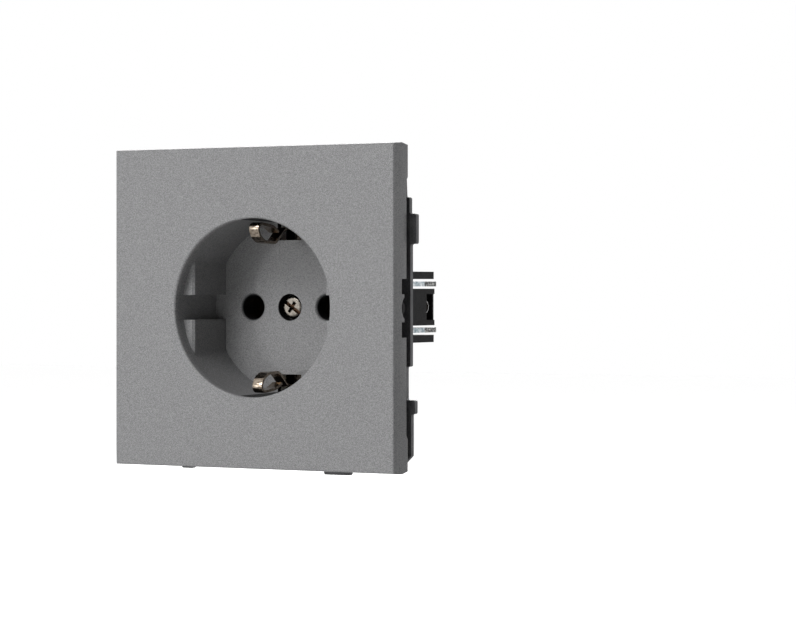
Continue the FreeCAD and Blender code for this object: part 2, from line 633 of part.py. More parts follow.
def make_claw():
    """Right claw: a bead to swing on, a slotted slanted bridge, two bends and two arms that end in teeth."""
    bridge_long = (CLAW_EDGE_X - CLAW_PIVOT[0]) * math.sqrt(2) + CLAW_T
    half_t = CLAW_T / 2
    flat_z = CLAW_ARM_Z - CLAW_BEND_R
    bridge = prism_xy([along_bridge(0, -half_t), along_bridge(bridge_long, -half_t),
                       along_bridge(bridge_long, half_t), along_bridge(0, half_t)], -flat_z, flat_z)
    start = FreeCAD.Vector(*along_bridge(0, CLAW_BEND_R), flat_z)
    axis = FreeCAD.Vector(1, 1, 0)
    tube = Part.makeCylinder(CLAW_BEND_R + half_t, bridge_long, start, axis)
    tube = tube.cut(Part.makeCylinder(CLAW_BEND_R - half_t, bridge_long, start, axis))
    quarter = prism_xy([along_bridge(0, -CLAW_T), along_bridge(bridge_long, -CLAW_T),
                        along_bridge(bridge_long, CLAW_BEND_R), along_bridge(0, CLAW_BEND_R)],
                       flat_z, CLAW_ARM_Z + CLAW_T)
    bend = tube.common(quarter)
    arm_in = CLAW_EDGE_X - CLAW_ARM_WIDE
    arm_outline = [along_bridge(0, CLAW_BEND_R), along_bridge(bridge_long, CLAW_BEND_R),
                   (CLAW_EDGE_X, along_bridge(bridge_long, CLAW_BEND_R)[1]),
                   (CLAW_EDGE_X, CLAW_TIP_Y), (CLAW_EDGE_X - CLAW_TOOTH[0], CLAW_TIP_Y - CLAW_TOOTH[1]),
                   (arm_in, CLAW_TIP_Y - CLAW_TOOTH_BACK), (arm_in, CLAW_PIVOT[1] + CLAW_HEEL)]
    arm = prism_xy(arm_outline, CLAW_ARM_Z - half_t, CLAW_ARM_Z + half_t)
    slot_end = CLAW_SLOT_END - CLAW_SLOT_R
    slot_outline = [along_bridge(-CLAW_T, -CLAW_T), along_bridge(slot_end, -CLAW_T),
                    along_bridge(slot_end, CLAW_T), along_bridge(-CLAW_T, CLAW_T)]
    slot = prism_xy(slot_outline, -CLAW_SLOT_R, CLAW_SLOT_R)
    slot_tip = Part.makeCylinder(CLAW_SLOT_R, 2 * CLAW_T, FreeCAD.Vector(*along_bridge(slot_end, -CLAW_T), 0),
                                 FreeCAD.Vector(-1, 1, 0))
    claw = fuse(bridge, claw_bead(half_t, flat_z), bend, mirror_z(bend), arm, mirror_z(arm))
    outside = box(CLAW_EDGE_X, 2 * FLANGE_R, 0, GUIDE_REAR + CLAW_TIP_Y, -FLANGE_R, FLANGE_R)
    return cut(claw, slot, slot_tip, outside)


def make_wedge_block():
    """Right wedge block: rides on the claw screw and carries its nut."""
    x0 = CHANNEL_WALL_X + WEDGE_SIDE_GAP
    outline = [(x0, WEDGE_FRONT), (WEDGE_OUT_X - WEDGE_BEVEL, WEDGE_FRONT),
               (WEDGE_OUT_X, WEDGE_FRONT + WEDGE_BEVEL), (WEDGE_OUT_X, GUIDE_REAR), (x0, GUIDE_REAR)]
    block = prism_xy(outline, -WEDGE_HALF, WEDGE_HALF)
    bore = rod(CLAW_SCREW_R + WEDGE_SIDE_GAP, WEDGE_FRONT, GUIDE_REAR, CLAW_SCREW_X)
    nut_half = NUT_SIDE / 2 + RUN_CLEARANCE
    pocket = box(CLAW_SCREW_X - nut_half, CLAW_SCREW_X + nut_half, NUT_FRONT, NUT_FRONT + NUT_T,
                 -nut_half, WEDGE_HALF)
    rear_wall = GUIDE_REAR - WEDGE_END_STEP - WEDGE_REAR_WALL
    window_in = CLAW_SCREW_X - CLAW_SCREW_R - WEDGE_SIDE_GAP
    window = box(window_in, WEDGE_OUT_X, WEDGE_WINDOW_FRONT, rear_wall, -WEDGE_WINDOW_HALF, WEDGE_WINDOW_HALF)
    end_step = box(window_in, WEDGE_OUT_X, GUIDE_REAR - WEDGE_END_STEP, GUIDE_REAR,
                   -WEDGE_WINDOW_HALF, WEDGE_WINDOW_HALF)
    seam_y, seam = WEDGE_SEAM
    groove = box(WEDGE_OUT_X - seam, WEDGE_OUT_X, seam_y, seam_y + seam, -WEDGE_HALF, WEDGE_HALF)
    return cut(block, bore, pocket, window, end_step, groove)


def make_claw_nut():
    half = NUT_SIDE / 2
    nut = box(CLAW_SCREW_X - half, CLAW_SCREW_X + half, NUT_FRONT, NUT_FRONT + NUT_T, -half, half)
    return cut(nut, rod(CLAW_SCREW_R + RUN_CLEARANCE, NUT_FRONT, NUT_FRONT + NUT_T, CLAW_SCREW_X))


def bend_at(before, corner, after, radius):
    """Start, middle and end of the round bend at a corner, as large as its radius and its two legs allow."""
    back = (before - corner).normalize()
    ahead = (after - corner).normalize()
    half_angle = back.getAngle(ahead) / 2
    legs = min(before.distanceToPoint(corner), after.distanceToPoint(corner))
    run = min(radius / math.tan(half_angle), BEND_SHARE * legs)
    inward = (back + ahead).normalize()
    middle = corner + inward * (run / math.cos(half_angle) - run * math.tan(half_angle))
    return corner + back * run, middle, corner + ahead * run


def strip(points, thickness, x0, x1, radii):
    """Sheet strip whose centre line in the YZ plane runs by a chain of points with a round bend at each."""
    chain = [FreeCAD.Vector(x0, y, z) for y, z in points]
    edges = []
    start = chain[0]
    for before, corner, after, radius in zip(chain, chain[1:], chain[2:], radii):
        bend = bend_at(before, corner, after, radius)
        edges += [Part.LineSegment(start, bend[0]).toShape(), Part.Arc(*bend).toShape()]
        start = bend[2]
    edges.append(Part.LineSegment(start, chain[-1]).toShape())
    outline = Part.Wire(edges).makeOffset2D(thickness / 2, 0, False, False)
    return Part.Face(outline).extrude(FreeCAD.Vector(x1 - x0, 0, 0))


def clip_line(nose):
    """Centre line of the top earth clip, from its free end to the bow's straight run."""
    line = [(FACE_Y + nose + behind, WELL_R - inset) for behind, inset in CLIP_LINE]
    return line + [(BOW_REST_Y + BOW_T / 2, CLIP_LEG_Z)]


def make_earth_bow():
    """One sprung strip: clip at the top, straight run behind the carrier, clip at the bottom."""
    top = clip_line(TOP_CLIP_NOSE)
    bottom = [(y, -z) for y, z in reversed(clip_line(BOTTOM_CLIP_NOSE))]
    clip_bends = [CLIP_BEND_R] * (len(CLIP_LINE) - 1)
    bends = clip_bends + [BOW_BEND_R, BOW_BEND_R] + clip_bends
    body = strip(top + bottom, BOW_T, -BOW_WIDE / 2, BOW_WIDE / 2, bends)
    pad = rod(BOW_PAD_R, BOW_REST_Y, BOW_REST_Y + BOW_T)
    foot = rod(BOW_PAD_R / 2 + BOW_T, BOW_REST_Y, BOW_REST_Y + BOW_T, 0, RIVET_Z)
    holes = [rod(BUSH_SPIGOT_R, BOW_REST_Y, BOW_REST_Y + BOW_T),
             rod(RIVET_R, BOW_REST_Y, BOW_REST_Y + BOW_T, 0, RIVET_Z)]
    return cut(fuse(body, pad, foot), *holes)


def make_screw_bush():
    """Threaded bush riveted into the earth bow for the cover screw."""
    rear = BOW_REST_Y + BOW_T
    collar = rod(BUSH_R, rear, rear + BUSH_LONG)
    spigot = rod(BUSH_SPIGOT_R, BOW_REST_Y, rear)
    return cut(fuse(collar, spigot), rod(COVER_SCREW_R, BOW_REST_Y, rear + BUSH_LONG))


def make_earth_bar():
    """Angle riveted to the bow that carries earth into the lower terminal chamber."""
    rear = BOW_REST_Y + BOW_T
    low = -CHAMBER_FLOOR - EARTH_BAR_T
    foot = box(-EARTH_BAR_HALF, EARTH_BAR_HALF, rear, rear + EARTH_BAR_T, low, RIVET_Z + RIVET_HEAD_R)
    shelf = box(-EARTH_BAR_HALF, EARTH_BAR_HALF, rear, CHAMBER_REAR - SEAT_GAP, low, -CHAMBER_FLOOR)
    wing = box(-BUSBAR_WIDE / 2, BUSBAR_WIDE / 2, CHAMBER_FRONT + SEAT_GAP, CHAMBER_REAR - SEAT_GAP,
               low, -CHAMBER_FLOOR)
    return cut(fuse(foot, shelf, wing), rod(RIVET_R, rear, rear + EARTH_BAR_T, 0, RIVET_Z))


def make_earth_rivet():
    front = BOW_REST_Y
    rear = BOW_REST_Y + BOW_T + EARTH_BAR_T
    shank = rod(RIVET_R, front, rear, 0, RIVET_Z)
    head = rod(RIVET_HEAD_R, rear, rear + RIVET_HEAD, 0, RIVET_Z)
    return fuse(shank, round_edges(head, RIVET_HEAD / 2, lambda b: b.YMin > rear + RIVET_HEAD - SEAT_GAP))


def make_contact(x):
    """Sprung fork behind one pin hole, with its riser and the busbar in the terminal chamber."""
    grip = CONTACT_GRIP + CONTACT_T / 2
    rear = CONTACT_REAR - CONTACT_T / 2
    arm = [(CONTACT_FRONT, CONTACT_MOUTH), (CONTACT_THROAT, grip),
           (CONTACT_REAR - CONTACT_FLARE, CONTACT_MOUTH), (rear, CONTACT_MOUTH)]
    fork = strip(arm + [(y, -z) for y, z in reversed(arm)], CONTACT_T, x - CONTACT_WIDE / 2,
                 x + CONTACT_WIDE / 2, [CONTACT_BEND_R] * 2 * len(arm))
    level = CHAMBER_FLOOR + CONTACT_T
    riser = box(x - CONTACT_WIDE / 2, x + CONTACT_WIDE / 2, RISER_REAR - CONTACT_T, RISER_REAR,
                CONTACT_MOUTH - CONTACT_T / 2, level)
    busbar = box(x - BUSBAR_WIDE / 2, x + BUSBAR_WIDE / 2, CHAMBER_FRONT + SEAT_GAP, CHAMBER_REAR - SEAT_GAP,
                 CHAMBER_FLOOR, level)
    return fuse(fork, riser, busbar)


def make_clamp_spring(x):
    """Bent leaf: its back lies under the chamber roof, its tongue slopes down to the busbar."""
    roof = CHAMBER_TOP - SPRING_T / 2
    line = [(CHAMBER_FRONT + behind, roof - drop) for behind, drop in SPRING_LINE]
    leaf = strip(line, SPRING_T, x - SPRING_WIDE / 2, x + SPRING_WIDE / 2, [SPRING_BEND_R] * len(line))
    half = KEY_WIDE / 2 + KEY_GAP
    gap = box(x - half, x + half, CHAMBER_FRONT + SPRING_WINDOW, CHAMBER_REAR,
              CHAMBER_TOP - SPRING_T, CHAMBER_TOP)
    return cut(leaf, gap)


def make_release_key(x):
    """Push key between the wire entries; its collar keeps it in and its nose bears on the spring."""
    half = KEY_WIDE / 2
    tall = KEY_TALL / 2
    head_end = UPPER_BLOCK[1] + KEY_PROUD
    head = box(x - half, x + half, CHAMBER_REAR - KEY_COLLAR, head_end, KEY_LIFT - tall, KEY_LIFT + tall)
    head = round_edges(head, KEY_COLLAR, lambda b: b.YMin > head_end - SEAT_GAP)
    collar = box(x - half - KEY_COLLAR, x + half + KEY_COLLAR, CHAMBER_REAR - 2 * KEY_COLLAR,
                 CHAMBER_REAR - SEAT_GAP, KEY_LIFT - tall, KEY_LIFT + tall)
    tongue = CHAMBER_FRONT + SPRING_LINE[-1][0] + SPRING_T / 2
    nose = box(x - half, x + half, tongue + KEY_NOSE_GAP + KEY_TRAVEL, CHAMBER_REAR - KEY_COLLAR,
               KEY_LIFT - tall, KEY_LIFT)
    return fuse(head, collar, nose)


def save(name, shape):
    shape.exportStep("parts/%s.step" % name)


def main():
    os.makedirs("parts", exist_ok=True)
    claw_side = {"claw": make_claw(), "claw_screw": make_claw_screw(), "wedge_block": make_wedge_block(),
                 "claw_nut": make_claw_nut()}
    for name, shape in claw_side.items():
        save(name + "_right", shape)
        save(name + "_left", mirror_x(shape))
    save("cover_plate", make_cover_plate())
    save("cover_screw", make_cover_screw())
    save("support_plate", make_support_plate())
    save("contact_carrier", make_contact_carrier())
    save("rear_housing", make_rear_housing())
    save("earth_bow", make_earth_bow())
    save("screw_bush", make_screw_bush())
    save("earth_bar", make_earth_bar())
    save("earth_rivet", make_earth_rivet())
    poles = {"live": -HALF_PINS, "neutral": HALF_PINS}
    for pole, x in poles.items():
        save(pole + "_contact", make_contact(x))
        save(pole + "_clamp_spring", make_clamp_spring(x))
        save(pole + "_release_key", make_release_key(x))
    save("earth_clamp_spring", mirror_z(make_clamp_spring(0)))
    save("earth_release_key", mirror_z(make_release_key(0)))


main()
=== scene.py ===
"""Flush wall socket: finishes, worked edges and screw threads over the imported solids, camera and light."""
import json
import math

import bmesh
import bpy
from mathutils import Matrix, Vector


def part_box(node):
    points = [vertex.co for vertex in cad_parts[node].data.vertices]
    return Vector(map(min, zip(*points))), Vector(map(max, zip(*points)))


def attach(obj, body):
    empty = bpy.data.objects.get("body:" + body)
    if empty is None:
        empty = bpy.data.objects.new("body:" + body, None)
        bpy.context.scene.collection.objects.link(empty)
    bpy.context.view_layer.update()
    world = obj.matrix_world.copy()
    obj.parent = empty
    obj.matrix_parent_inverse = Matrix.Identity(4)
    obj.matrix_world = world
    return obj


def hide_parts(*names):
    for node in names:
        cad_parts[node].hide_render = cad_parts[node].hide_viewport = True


MM = 0.001

# Picture size that the camera's shift is worked out from
PICTURE_WIDE = 796
PICTURE_TALL = 620

# Camera: its turn to the right, and its distance and height from the cover's face in millimetres
VIEW_TURN = math.radians(30.5)
VIEW_DISTANCE = 604.0
VIEW_HEIGHT = 4.6
# Its focal length in pixels, and the pixel on which the centre of the cover's face falls
FOCAL_PIXELS = 2805.6
FACE_CENTRE = (250.7, 307.8)
# Width of its sensor, in millimetres
SENSOR_WIDE = 36.0
# The nearest and the farthest that it sees, in metres
VIEW_REACH = (0.01, 20.0)

# How brightly the room lights the socket; in the picture, in mirrors and through clear parts it is white
ROOM_LEVEL = 0.055
# Each lamp: name, degrees right of the socket's axis, degrees above it, side in metres, watts
LAMPS = (
    ("key_softbox", -10, 45, 0.85, 18.6),
    ("left_softbox", -26, 5, 1.0, 8.4),
    ("rear_softbox", 205, 25, 0.9, 16.0),
    ("rear_right_softbox", 130, 15, 0.9, 2.4),
)
# How far every lamp stands from the socket, in metres
LAMP_AWAY = 1.8

# Floor: its height in millimetres, half its side in metres, and how much it glows in the picture
FLOOR_Z = -150.0
FLOOR_HALF = 4.0
FLOOR_GLOW = 0.85

# Cover in millimetres: half its side, its walls, and the well in its middle
COVER_HALF = 34.65
SKIRT_WALL = 1.7
COVER_FACE = 2.2
WELL_R = 19.3
WELL_WALL = 0.9
WELL_DEPTH = 17.0

# Depth below the well's floor over which the cover turns to black, in millimetres: bare moulding, and painted
# shade in the holes
HOLE_SHADE_FADE = (0.05, 0.5)
# Painted shade in the bay behind each earth clip: half its width, how far from the middle it begins, and how
# far behind the face it begins
CLIP_BAY_HALF = 3.1
CLIP_BAY_OUT = 17.5
BAY_SHADE_DEPTH = 0.9
# How far the well's walls are darkened towards black, as painted shade
WALL_SHADE_LEVEL = 0.28
# Depth below the cover's face over which that painted shade begins, in millimetres
WALL_SHADE_FADE = (0.5, 1.8)
# How squarely a surface has to face the front: it gets the full painted shade up to the first value and none
# from the second
WALL_SHADE_FACING = (0.3, 0.8)

# Claws: Y over which the clean strip turns to torn teeth, in millimetres into the wall
TORN_TEETH = (29.1, 29.7)
# Pace of the noise along the claws, which draws their lines out to over three times their width
LINE_DRAW = 0.3

# Earth strip: depth behind the well's floor over which the painted shade sets in, in millimetres
STRIP_SHADE_FADE = (0.5, 1.5)

# Noise values over which a grain, a cloud and the torn metal go from one tone to the other
GRAIN_SPAN = (0.3, 0.7)
CLOUD_SPAN = (0.35, 0.65)
TORN_SPAN = (0.5, 0.62)

# Screws, in millimetres: thread radius, pitch, depth, how far the cone runs in at the tip, and the swaged tip
CLAW_THREAD = {"radius": 1.75, "pitch": 0.6, "depth": 0.33, "cone": 0.0, "swage": 0.6, "swage_radius": 1.98}
COVER_THREAD = {"radius": 1.5, "pitch": 0.5, "depth": 0.28, "cone": 0.5, "swage": 0.0, "swage_radius": 1.5}
CLAW_HEAD_LONG = 2.1
COVER_HEAD_LONG = 1.7
# How far before its rear face each head is cut flat to take the threaded shank
HEAD_CUT = 0.3
# How far the claw screws stand from the middle
CLAW_SCREW_X = 19.2
# Painted shade in the heads' recesses: the Y where it begins and ends, how softly it begins, and its radius
RECESS_SHADE_FRONT = 9.2
RECESS_SHADE_REAR = 10.35
RECESS_SHADE_FADE = 0.15
RECESS_SHADE_REACH = 2.4
# Y from which the swaged ends are painted dark as shade
TIP_SHADE_FRONT = 32.8

# Thread mesh: rings in each pitch, sides of each ring, and how much steeper the flanks are than those of a
# plain ridge, which leaves the crest flat
THREAD_STEPS = 10
THREAD_SIDES = 40
FLANK_STEEP = 1.3

# Width of the worked edge on these solids and on all others, in millimetres
EDGE_MM = {"cover_plate": 0.2, "support_plate": 0.25, "contact_carrier": 0.15, "rear_housing": 0.18,
           "claw_left": 0.12, "claw_right": 0.12, "wedge_block_left": 0.2, "wedge_block_right": 0.2,
           "earth_bow": 0.07}
PLAIN_EDGE_MM = 0.07
EDGE_STEPS = 2
# Corners sharper than this are worked, and points closer than this many millimetres are one
EDGE_ANGLE = math.radians(40)
WELD_MM = 0.002

# Sockets of a Mix node: its factor, its two colours and its result
MIX_FACTOR, MIX_A, MIX_B, MIX_OUT = 0, 6, 7, 2


def linear(code):
    """Linear RGBA of an sRGB hex colour."""
    channels = [int(code[i:i + 2], 16) / 255 for i in (1, 3, 5)]
    return [c / 12.92 if c <= 0.04045 else ((c + 0.055) / 1.055) ** 2.4 for c in channels] + [1.0]


def add(tree, kind, inputs=None, **settings):
    """Add a node; an input takes either a value or another node's output."""
    node = tree.nodes.new(kind)
    for name, value in settings.items():
        setattr(node, name, value)
    for name, value in (inputs or {}).items():
        if isinstance(value, bpy.types.NodeSocket):
            tree.links.new(value, node.inputs[name])
        else:
            node.inputs[name].default_value = value
    return node


def start_finish(name, **sockets):
    """New material: its tree, its shader and the place on the surface.

    A keyword names one of the shader's sockets, with _ for each space.
    """
    material = bpy.data.materials.new(name)
    material.use_nodes = True
    tree = material.node_tree
    shader = tree.nodes["Principled BSDF"]
    for socket, value in sockets.items():
        shader.inputs[socket.replace("_", " ")].default_value = value
    place = add(tree, "ShaderNodeTexCoord").outputs["Object"]
    return material, tree, shader, place


def spread_grain(tree, shader, grain, tones, gloss, depth_mm):
    """Let one grain value shift the colour, the roughness and the height of the surface together."""
    factor = add(tree, "ShaderNodeMapRange", {"Value": grain, "From Min": GRAIN_SPAN[0],
                                              "From Max": GRAIN_SPAN[1]}).outputs["Result"]
    first, second = [linear(tone) for tone in tones]
    colour = add(tree, "ShaderNodeMix", {MIX_FACTOR: factor, MIX_A: first, MIX_B: second},
                 data_type="RGBA").outputs[MIX_OUT]
    rough = add(tree, "ShaderNodeMapRange", {"Value": factor, "To Min": gloss[0], "To Max": gloss[1]})
    bump = add(tree, "ShaderNodeBump", {"Height": factor, "Distance": depth_mm * MM})
    tree.links.new(colour, shader.inputs["Base Color"])
    tree.links.new(rough.outputs["Result"], shader.inputs["Roughness"])
    tree.links.new(bump.outputs["Normal"], shader.inputs["Normal"])
    return colour


def cloud_over(tree, shader, colour, place, cloud_mm, shade):
    """Darken a colour in soft clouds, as handling and uneven plating do."""
    cloud = add(tree, "ShaderNodeTexNoise", {"Vector": place, "Scale": 1 / (cloud_mm * MM), "Detail": 3.0})
    factor = add(tree, "ShaderNodeMapRange", {"Value": cloud.outputs["Fac"], "From Min": CLOUD_SPAN[0],
                                              "From Max": CLOUD_SPAN[1]}).outputs["Result"]
    tone = add(tree, "ShaderNodeMix", {MIX_FACTOR: factor, MIX_A: linear(shade), MIX_B: linear("#ffffff")},
               data_type="RGBA").outputs[MIX_OUT]
    mixed = add(tree, "ShaderNodeMix", {MIX_FACTOR: 1.0, MIX_A: colour, MIX_B: tone},
                data_type="RGBA", blend_type="MULTIPLY").outputs[MIX_OUT]
    tree.links.new(mixed, shader.inputs["Base Color"])
    return mixed


def unsprayed_and_shade(tree, place):
    """How black the cover is drawn: 1 in holes, behind the clips and behind the face, less on the well's
    walls; bare moulding behind the face, painted shade behind the clips and on the walls, both in the holes.
    """
    parts = add(tree, "ShaderNodeSeparateXYZ", {"Vector": place}).outputs
    flat = add(tree, "ShaderNodeVectorMath", {0: place, 1: (1, 0, 1)}, operation="MULTIPLY").outputs[0]
    radius = add(tree, "ShaderNodeVectorMath", {0: flat}, operation="LENGTH").outputs["Value"]
    across = add(tree, "ShaderNodeMath", {0: parts["X"]}, operation="ABSOLUTE").outputs[0]
    upward = add(tree, "ShaderNodeMath", {0: parts["Z"]}, operation="ABSOLUTE").outputs[0]
    outward = add(tree, "ShaderNodeMath", {0: across, 1: upward}, operation="MAXIMUM").outputs[0]
    # the hollow behind the face, between the well and the skirt
    behind = add(tree, "ShaderNodeMath", {0: parts["Y"], 1: (FACE_Y + COVER_FACE / 2) * MM},
                 operation="GREATER_THAN").outputs[0]
    off_well = add(tree, "ShaderNodeMath", {0: radius, 1: (WELL_R + WELL_WALL / 2) * MM},
                   operation="GREATER_THAN").outputs[0]
    inside = add(tree, "ShaderNodeMath", {0: outward, 1: (COVER_HALF - SKIRT_WALL / 2) * MM},
                 operation="LESS_THAN").outputs[0]
    hollow_and_bay_shade = add(tree, "ShaderNodeMath", {0: behind, 1: off_well}, operation="MULTIPLY").outputs[0]
    hollow_and_bay_shade = add(tree, "ShaderNodeMath", {0: hollow_and_bay_shade, 1: inside}, operation="MULTIPLY").outputs[0]
    # painted shade: the bay behind each earth clip is drawn black
    in_well = add(tree, "ShaderNodeMath", {0: 1.0, 1: off_well}, operation="SUBTRACT").outputs[0]
    bay_shade = in_well
    for value, limit, kind in ((across, CLIP_BAY_HALF, "LESS_THAN"), (upward, CLIP_BAY_OUT, "GREATER_THAN"),
                               (parts["Y"], FACE_Y + BAY_SHADE_DEPTH, "GREATER_THAN")):
        within = add(tree, "ShaderNodeMath", {0: value, 1: limit * MM}, operation=kind).outputs[0]
        bay_shade = add(tree, "ShaderNodeMath", {0: bay_shade, 1: within}, operation="MULTIPLY").outputs[0]
    # the bare hollow together with the painted shade of the bays
    hollow_and_bay_shade = add(tree, "ShaderNodeMath", {0: hollow_and_bay_shade, 1: bay_shade}, operation="MAXIMUM").outputs[0]
    # the holes in the well's floor: bare black moulding, and painted shade deep in them
    floor = FACE_Y + WELL_DEPTH
    hole_bare_and_shade = add(tree, "ShaderNodeMapRange", {"Value": parts["Y"], "From Min": (floor + HOLE_SHADE_FADE[0]) * MM,
                                            "From Max": (floor + HOLE_SHADE_FADE[1]) * MM}).outputs["Result"]
    # painted shade on the well's walls, darker the more a surface faces sideways
    normal = add(tree, "ShaderNodeTexCoord").outputs["Normal"]
    facing = add(tree, "ShaderNodeSeparateXYZ", {"Vector": normal}).outputs["Y"]
    facing = add(tree, "ShaderNodeMath", {0: facing}, operation="ABSOLUTE").outputs[0]
    wall_shade = add(tree, "ShaderNodeMapRange", {"Value": facing, "From Min": WALL_SHADE_FACING[0],
                                            "From Max": WALL_SHADE_FACING[1], "To Min": WALL_SHADE_LEVEL,
                                            "To Max": 0.0}).outputs["Result"]
    below_rim = add(tree, "ShaderNodeMapRange", {"Value": parts["Y"],
                                                 "From Min": (FACE_Y + WALL_SHADE_FADE[0]) * MM,
                                                 "From Max": (FACE_Y + WALL_SHADE_FADE[1]) * MM}).outputs["Result"]
    for mask in (in_well, below_rim):
        wall_shade = add(tree, "ShaderNodeMath", {0: wall_shade, 1: mask}, operation="MULTIPLY").outputs[0]
    bare_and_shade = add(tree, "ShaderNodeMath", {0: hollow_and_bay_shade, 1: hole_bare_and_shade}, operation="MAXIMUM").outputs[0]
    return add(tree, "ShaderNodeMath", {0: bare_and_shade, 1: wall_shade}, operation="MAXIMUM").outputs[0]


def metallic_lacquer():
    """Aluminium-flake lacquer sprayed from the front on black PC/ABS: matt mid grey with a fine sparkle."""
    material, tree, shader, place = start_finish("metallic_lacquer_on_black_pc_abs", IOR=1.5,
                                                 Specular_IOR_Level=0.05, Coat_Weight=0.2,
                                                 Coat_Roughness=0.12)
    # real flakes are 0.03 mm; drawn 0.1 mm wide so that they still show, each with its own tone
    flake_mm = 0.1
    cells = add(tree, "ShaderNodeTexVoronoi", {"Vector": place, "Scale": 1 / (flake_mm * MM)})
    flake = add(tree, "ShaderNodeSeparateColor", {"Color": cells.outputs["Color"]}).outputs["Red"]
    colour = spread_grain(tree, shader, flake, tones=("#808081", "#a2a2a3"), gloss=(0.48, 0.64),
                          depth_mm=0.004)
    # black for bare moulding, and painted shade behind the clips, in the holes and on the well's walls
    bare_and_shade = unsprayed_and_shade(tree, place)
    mixed = add(tree, "ShaderNodeMix", {MIX_FACTOR: bare_and_shade, MIX_A: colour, MIX_B: linear("#161617")},
                data_type="RGBA")
    tree.links.new(mixed.outputs[MIX_OUT], shader.inputs["Base Color"])
    return material


def zinc_plated_sheet():
    """Pressed steel sheet under dark passivated zinc: dull dark grey, mottled, with a rolled grain."""
    material, tree, shader, place = start_finish("dark_passivated_zinc_on_steel_sheet", Metallic=0.7)
    # the real grain is too fine to show; drawn 0.3 mm wide
    grain_mm = 0.3
    grain = add(tree, "ShaderNodeTexNoise", {"Vector": place, "Scale": 1 / (grain_mm * MM), "Detail": 4.0,
                                             "Roughness": 0.7}).outputs["Fac"]
    colour = spread_grain(tree, shader, grain, tones=("#4d4d4f", "#747476"), gloss=(0.42, 0.6),
                          depth_mm=0.015)
    cloud_over(tree, shader, colour, place, cloud_mm=5.0, shade="#d4d4d4")
    return material


def white_polyamide():
    """Moulded white polyamide: slightly warm, satin, a little light passes into it."""
    material, tree, shader, place = start_finish("moulded_white_polyamide", IOR=1.53, Subsurface_Weight=0.1,
                                                 Subsurface_Radius=(1.2 * MM, 1.0 * MM, 0.8 * MM))
    # the real mould grain is too fine to show; drawn 0.4 mm wide
    grain_mm = 0.4
    grain = add(tree, "ShaderNodeTexNoise", {"Vector": place, "Scale": 1 / (grain_mm * MM), "Detail": 3.0})
    spread_grain(tree, shader, grain.outputs["Fac"], tones=("#d6d3cc", "#e2dfd9"), gloss=(0.34, 0.46),
                 depth_mm=0.006)
    return material


def black_polyamide():
    """Moulded black polyamide from a spark-eroded tool: an even fine grain that breaks up the gloss."""
    material, tree, shader, place = start_finish("grained_black_polyamide", IOR=1.53, Specular_IOR_Level=0.06)
    # real pits are 0.08 mm; drawn 0.3 mm wide so that the grain shows
    pit_mm = 0.3
    pits = add(tree, "ShaderNodeTexNoise", {"Vector": place, "Scale": 1 / (pit_mm * MM), "Detail": 3.0,
                                            "Roughness": 0.7}).outputs["Fac"]
    spread_grain(tree, shader, pits, tones=("#101011", "#242426"), gloss=(0.34, 0.52), depth_mm=0.03)
    return material


def galvanised_strip():
    """Galvanised steel strip: bluish bright faces with drawn lines, dark torn metal on the sheared teeth."""
    material, tree, shader, place = start_finish("galvanised_steel_strip", Metallic=1.0)
    drawn = add(tree, "ShaderNodeMapping", {"Vector": place, "Scale": (1.0, LINE_DRAW, 1.0)})
    # the real lines are too fine to show; drawn 0.3 mm wide
    line_mm = 0.3
    lines = add(tree, "ShaderNodeTexNoise", {"Vector": drawn.outputs["Vector"], "Scale": 1 / (line_mm * MM),
                                             "Detail": 4.0, "Roughness": 0.7}).outputs["Fac"]
    bright = spread_grain(tree, shader, lines, tones=("#b4bcc1", "#f4f7f8"), gloss=(0.12, 0.34),
                          depth_mm=0.012)
    bright = cloud_over(tree, shader, bright, place, cloud_mm=1.2, shade="#9fb0b6")
    # the torn metal is as coarse as it looks on the real teeth from the front
    tear_mm = 0.38
    torn = add(tree, "ShaderNodeTexNoise", {"Vector": place, "Scale": 1 / (tear_mm * MM), "Detail": 2.0,
                                            "Roughness": 0.6}).outputs["Fac"]
    along = add(tree, "ShaderNodeSeparateXYZ", {"Vector": place}).outputs["Y"]
    tooth = add(tree, "ShaderNodeMapRange", {"Value": along, "From Min": TORN_TEETH[0] * MM,
                                             "From Max": TORN_TEETH[1] * MM}).outputs["Result"]
    speck = add(tree, "ShaderNodeMapRange", {"Value": torn, "From Min": TORN_SPAN[0],
                                             "From Max": TORN_SPAN[1]}).outputs["Result"]
    rough_metal = add(tree, "ShaderNodeMix", {MIX_FACTOR: speck, MIX_A: linear("#2a2b2b"),
                                              MIX_B: linear("#c3c4c2")}, data_type="RGBA").outputs[MIX_OUT]
    colour = add(tree, "ShaderNodeMix", {MIX_FACTOR: tooth, MIX_A: bright, MIX_B: rough_metal},
                 data_type="RGBA")
    tree.links.new(colour.outputs[MIX_OUT], shader.inputs["Base Color"])
    return material


